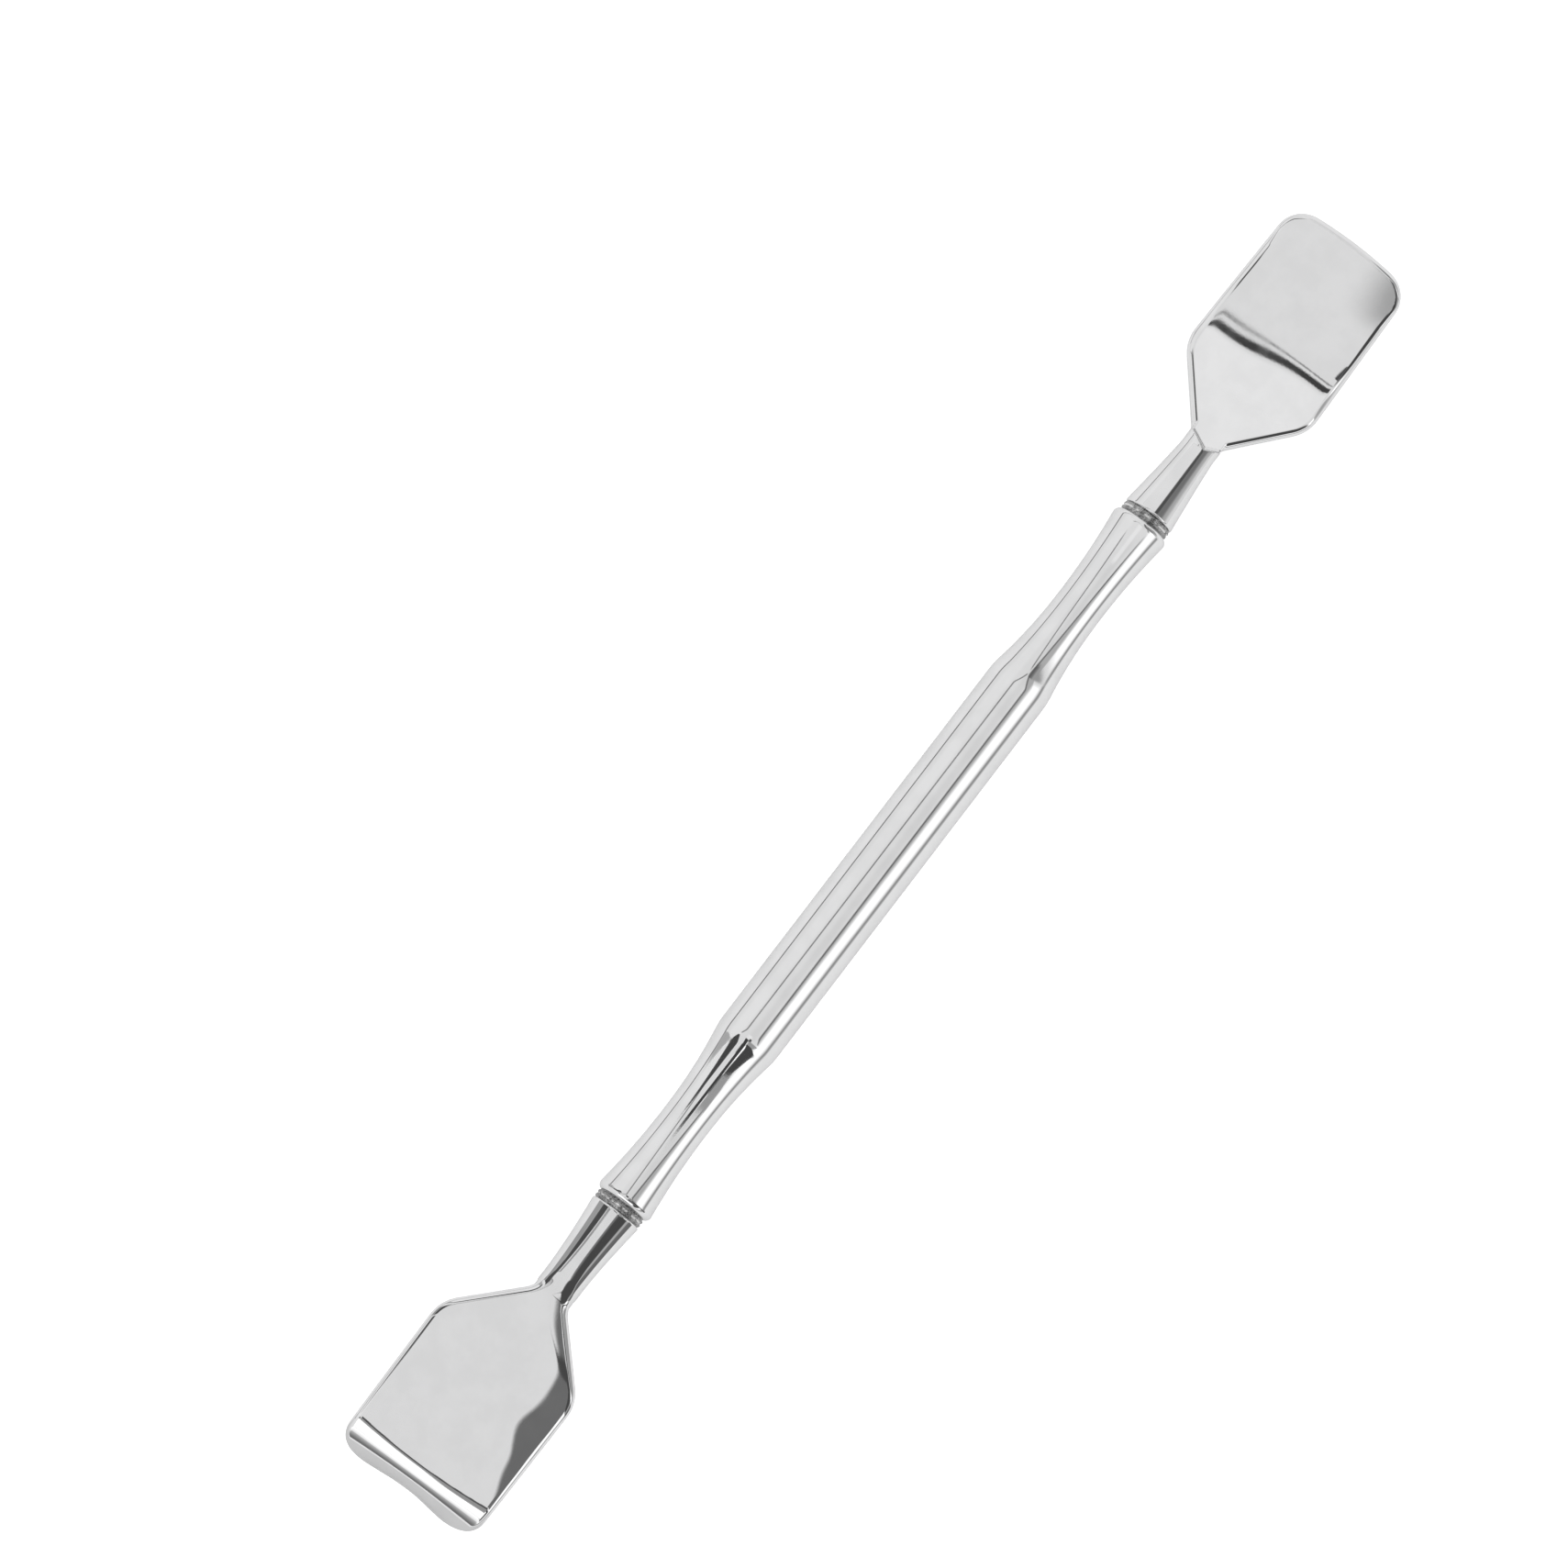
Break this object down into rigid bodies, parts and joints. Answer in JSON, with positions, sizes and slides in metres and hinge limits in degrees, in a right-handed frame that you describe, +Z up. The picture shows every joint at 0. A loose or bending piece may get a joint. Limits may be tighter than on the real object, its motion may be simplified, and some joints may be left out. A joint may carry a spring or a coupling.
{
  "type": "sculpting spatula",
  "caption": "Double-ended polished metal spatula with a waisted round handle, a cupped blade at an end and a flat blade with a rolled lip at the other end.",
  "frame": {"origin": "on the handle's axis, halfway along the handle tube", "axes": "+X along the tool towards the cupped blade, +Y across the blades, +Z up, the way the cupped blade curves and the flat blade's outer face looks"},
  "size_m": [0.2061, 0.0224, 0.0144],
  "materials": {
    "polished_steel": "mirror polished",
    "joint_metal": "rough, left as joined"
  },
  "bodies": {
    "root": {"handle_tube": "polished_steel", "cupped_blade": "polished_steel", "lipped_blade": "polished_steel", "cupped_end_ring": "joint_metal", "lipped_end_ring": "joint_metal"}
  },
  "joints": []
}
